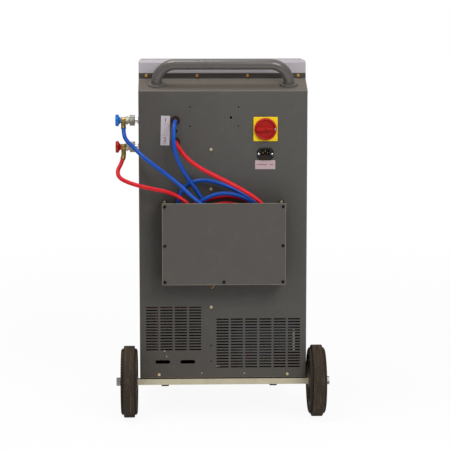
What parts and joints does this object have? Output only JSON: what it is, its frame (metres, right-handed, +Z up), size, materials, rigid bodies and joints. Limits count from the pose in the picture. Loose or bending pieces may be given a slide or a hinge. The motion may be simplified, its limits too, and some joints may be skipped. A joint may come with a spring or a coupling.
{
  "type": "air conditioning recharge station",
  "caption": "Wheeled cabinet that recovers and recharges refrigerant, with a sloped console, a push handle, service hoses in a rear tray and a rotary mains switch.",
  "frame": {"origin": "centre of the footprint, on the floor", "axes": "+Z up, -Y towards the rear panel with the hose tray, +X to the right as seen from the rear"},
  "size_m": [0.6556, 0.568, 1.0974],
  "materials": {
    "grey_paint": "textured grey powder coat",
    "dark_grey_paint": "textured grey powder coat",
    "pale_plastic": "fine grained moulding",
    "yellow_panel": "satin film",
    "yellow_plastic": "satin moulding",
    "red_plastic": "satin moulding",
    "blue_plastic": "satin moulding",
    "black_plastic": "fine grained moulding",
    "brown_plastic": "satin moulding",
    "clear": "clear",
    "white_dial": "white enamel with a black case",
    "needle_paint": "matt",
    "board": "lacquered",
    "paper": "matt paper",
    "galvanised": "yellow zinc plate",
    "zinc": "bright zinc plate",
    "brass": "dulled",
    "chrome": "polished",
    "aluminium": "mill finish",
    "copper": "dulled copper tube",
    "tyre_rubber": "dusty",
    "wheel_plastic": "moulded nylon",
    "blue_hose": "smooth jacket",
    "red_hose": "smooth jacket",
    "dark_screw": "blackened",
    "pump_paint": "gloss enamel",
    "compressor_paint": "gloss enamel",
    "tank_paint": "gloss enamel",
    "bottle_plastic": "milky"
  },
  "bodies": {
    "root": {"rear_panel": "grey_paint", "left_side_panel": "grey_paint", "right_side_panel": "grey_paint", "base_pan": "dark_grey_paint", "mid_partition": "galvanised", "front_cover": "yellow_plastic", "oil_bottles": "bottle_plastic", "console_housing": "pale_plastic", "console_fascia": "yellow_panel", "display_window": "clear", "gauge_cases": "white_dial", "gauge_lenses": "clear", "control_board": "board", "handle": "grey_paint", "hose_tray": "dark_grey_paint", "tray_front_plate": "grey_paint", "panel_screws": "brass", "tray_screws": "dark_screw", "axle": "galvanised", "axle_nuts": "zinc", "castor_plates": "zinc", "switch_base": "yellow_plastic", "mains_inlet": "black_plastic", "port_fittings": "brass", "valve_manifold": "aluminium", "parking_posts": "chrome", "low_coupler_body": "chrome", "high_coupler_body": "chrome", "low_coupler_elbow": "brass", "high_coupler_elbow": "brass", "low_hose": "blue_hose", "high_hose": "red_hose", "refrigerant_tank": "tank_paint", "scale_platform": "aluminium", "vacuum_pump": "pump_paint", "compressor": "compressor_paint", "condenser": "aluminium", "fan_housing": "dark_grey_paint", "copper_pipes": "copper"},
    "left_wheel": {"left_wheel_hub": "wheel_plastic", "left_tyre": "tyre_rubber"},
    "right_wheel": {"right_wheel_hub": "wheel_plastic", "right_tyre": "tyre_rubber"},
    "left_castor": {"left_castor_fork": "zinc"},
    "right_castor": {"right_castor_fork": "zinc"},
    "left_castor_roller": {"left_castor_wheel": "tyre_rubber"},
    "right_castor_roller": {"right_castor_wheel": "tyre_rubber"},
    "knob": {"switch_knob": "red_plastic"},
    "drawer": {"fuse_drawer": "brown_plastic"},
    "low_sleeve": {"low_coupler_sleeve": "zinc"},
    "high_sleeve": {"high_coupler_sleeve": "zinc"},
    "low_knob": {"low_coupler_knob": "blue_plastic"},
    "high_knob": {"high_coupler_knob": "red_plastic"},
    "start": {"start_key": "black_plastic"},
    "stop": {"stop_key": "red_plastic"},
    "low_needle": {"low_gauge_needle": "needle_paint"},
    "high_needle": {"high_gauge_needle": "needle_paint"},
    "printer_flap": {"printer_door": "black_plastic"},
    "roll": {"paper_roll": "paper"},
    "fan": {"fan_blades": "aluminium"}
  },
  "joints": [
    {"name": "left_wheel_spin", "type": "hinge", "parent": "root", "child": "left_wheel", "pos_m": [-0.288, -0.174, 0.11], "axis": [1, 0, 0], "continuous": true},
    {"name": "left_castor_swivel", "type": "hinge", "parent": "root", "child": "left_castor", "pos_m": [-0.18, 0.215, 0.1115], "axis": [0, 0, 1], "continuous": true},
    {"name": "left_castor_spin", "type": "hinge", "parent": "left_castor", "child": "left_castor_roller", "pos_m": [-0.18, 0.245, 0.039], "axis": [1, 0, 0], "continuous": true},
    {"name": "right_wheel_spin", "type": "hinge", "parent": "root", "child": "right_wheel", "pos_m": [0.288, -0.174, 0.11], "axis": [1, 0, 0], "continuous": true},
    {"name": "right_castor_swivel", "type": "hinge", "parent": "root", "child": "right_castor", "pos_m": [0.18, 0.215, 0.1115], "axis": [0, 0, 1], "continuous": true},
    {"name": "right_castor_spin", "type": "hinge", "parent": "right_castor", "child": "right_castor_roller", "pos_m": [0.18, 0.245, 0.039], "axis": [1, 0, 0], "continuous": true},
    {"name": "switch_turn", "type": "hinge", "parent": "root", "child": "knob", "pos_m": [0.128, -0.195, 0.8875], "axis": [0, 1, 0], "range_deg": [0, 90]},
    {"name": "drawer_slide", "type": "slide", "parent": "root", "child": "drawer", "axis": [0, -1, 0], "range_m": [0, 0.014]},
    {"name": "low_sleeve_slide", "type": "slide", "parent": "root", "child": "low_sleeve", "axis": [-1, 0, 0], "range_m": [0, 0.004], "stiffness_N_per_m": 800},
    {"name": "low_knob_turn", "type": "hinge", "parent": "root", "child": "low_knob", "pos_m": [-0.318, -0.116, 0.91], "axis": [-1, 0, 0], "range_deg": [0, 330]},
    {"name": "high_sleeve_slide", "type": "slide", "parent": "root", "child": "high_sleeve", "axis": [-1, 0, 0], "range_m": [0, 0.004], "stiffness_N_per_m": 800},
    {"name": "high_knob_turn", "type": "hinge", "parent": "root", "child": "high_knob", "pos_m": [-0.318, -0.116, 0.829], "axis": [-1, 0, 0], "range_deg": [0, 330]},
    {"name": "start_press", "type": "slide", "parent": "root", "child": "start", "axis": [0, -0.4051, -0.9143], "range_m": [0, 0.003], "stiffness_N_per_m": 300},
    {"name": "stop_press", "type": "slide", "parent": "root", "child": "stop", "axis": [0, -0.4051, -0.9143], "range_m": [0, 0.003], "stiffness_N_per_m": 300},
    {"name": "low_needle_swing", "type": "hinge", "parent": "root", "child": "low_needle", "pos_m": [0.138, 0.12147, 1.05175], "axis": [0, -0.4051, -0.9143], "range_deg": [0, 270], "stiffness_Nm_per_rad": 0.002},
    {"name": "high_needle_swing", "type": "hinge", "parent": "root", "child": "high_needle", "pos_m": [-0.138, 0.12147, 1.05175], "axis": [0, -0.4051, -0.9143], "range_deg": [0, 270], "stiffness_Nm_per_rad": 0.002},
    {"name": "printer_flap_hinge", "type": "hinge", "parent": "root", "child": "printer_flap", "pos_m": [-0.14, 0.1794, 1.03068], "axis": [1, 0, 0], "range_deg": [0, 105]},
    {"name": "roll_turn", "type": "hinge", "parent": "root", "child": "roll", "pos_m": [-0.14, 0.19748, 0.9962], "axis": [1, 0, 0], "continuous": true},
    {"name": "fan_spin", "type": "hinge", "parent": "root", "child": "fan", "pos_m": [-0.1516, -0.118, 0.2772], "axis": [0, 1, 0], "continuous": true}
  ]
}
